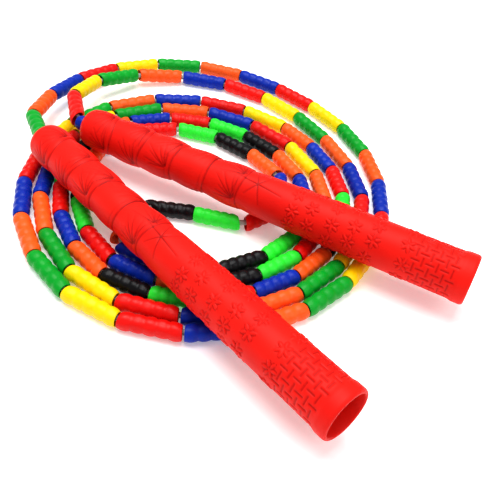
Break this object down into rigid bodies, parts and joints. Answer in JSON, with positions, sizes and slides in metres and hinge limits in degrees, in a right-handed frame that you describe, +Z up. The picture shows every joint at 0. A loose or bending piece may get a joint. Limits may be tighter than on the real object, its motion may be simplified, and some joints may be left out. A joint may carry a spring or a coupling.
{
  "type": "beaded jump rope",
  "caption": "Beaded jump rope lying coiled: hollow flared red handles turn on the ends of a thin cord threaded through ribbed plastic beads in repeating bright colours.",
  "frame": {"origin": "on the surface that the beads lie on, under the middle of the two handles", "axes": "+X to the right and +Y away as seen from the handles' open ends' side, +Z up"},
  "size_m": [0.2115, 0.2587, 0.0305],
  "materials": {
    "handle_red": "satin soft plastic, fine moulded texture",
    "cord_white": "braided thin cord",
    "bead_red": "semi-gloss",
    "bead_orange": "semi-gloss",
    "bead_yellow": "semi-gloss",
    "bead_green": "semi-gloss",
    "bead_blue": "semi-gloss",
    "bead_lime": "semi-gloss",
    "bead_black": "semi-gloss",
    "washer_steel": "plain stamped"
  },
  "bodies": {
    "rope": {"cord": "cord_white", "beads_front_green": "bead_green", "beads_front_orange": "bead_orange", "beads_front_blue": "bead_blue", "beads_front_red": "bead_red", "beads_front_yellow": "bead_yellow", "beads_front_lime": "bead_lime", "beads_front_black": "bead_black", "beads_back_green": "bead_green", "beads_back_orange": "bead_orange", "beads_back_blue": "bead_blue", "beads_back_red": "bead_red", "beads_back_yellow": "bead_yellow", "beads_back_lime": "bead_lime", "beads_back_black": "bead_black", "front_swivel_bead": "bead_yellow", "back_swivel_bead": "bead_blue", "front_washer": "washer_steel", "front_knot": "cord_white", "back_washer": "washer_steel", "back_knot": "cord_white"},
    "front_handle": {"front_handle": "handle_red"},
    "back_handle": {"back_handle": "handle_red"}
  },
  "joints": [
    {"name": "front_handle_spin", "type": "hinge", "parent": "rope", "child": "front_handle", "pos_m": [-0.095, 0.058, 0.0179], "axis": [0.6978, -0.7163, 0.0105], "continuous": true},
    {"name": "back_handle_spin", "type": "hinge", "parent": "rope", "child": "back_handle", "pos_m": [-0.078, 0.073, 0.0179], "axis": [0.9011, -0.4337, 0.0052], "continuous": true}
  ]
}
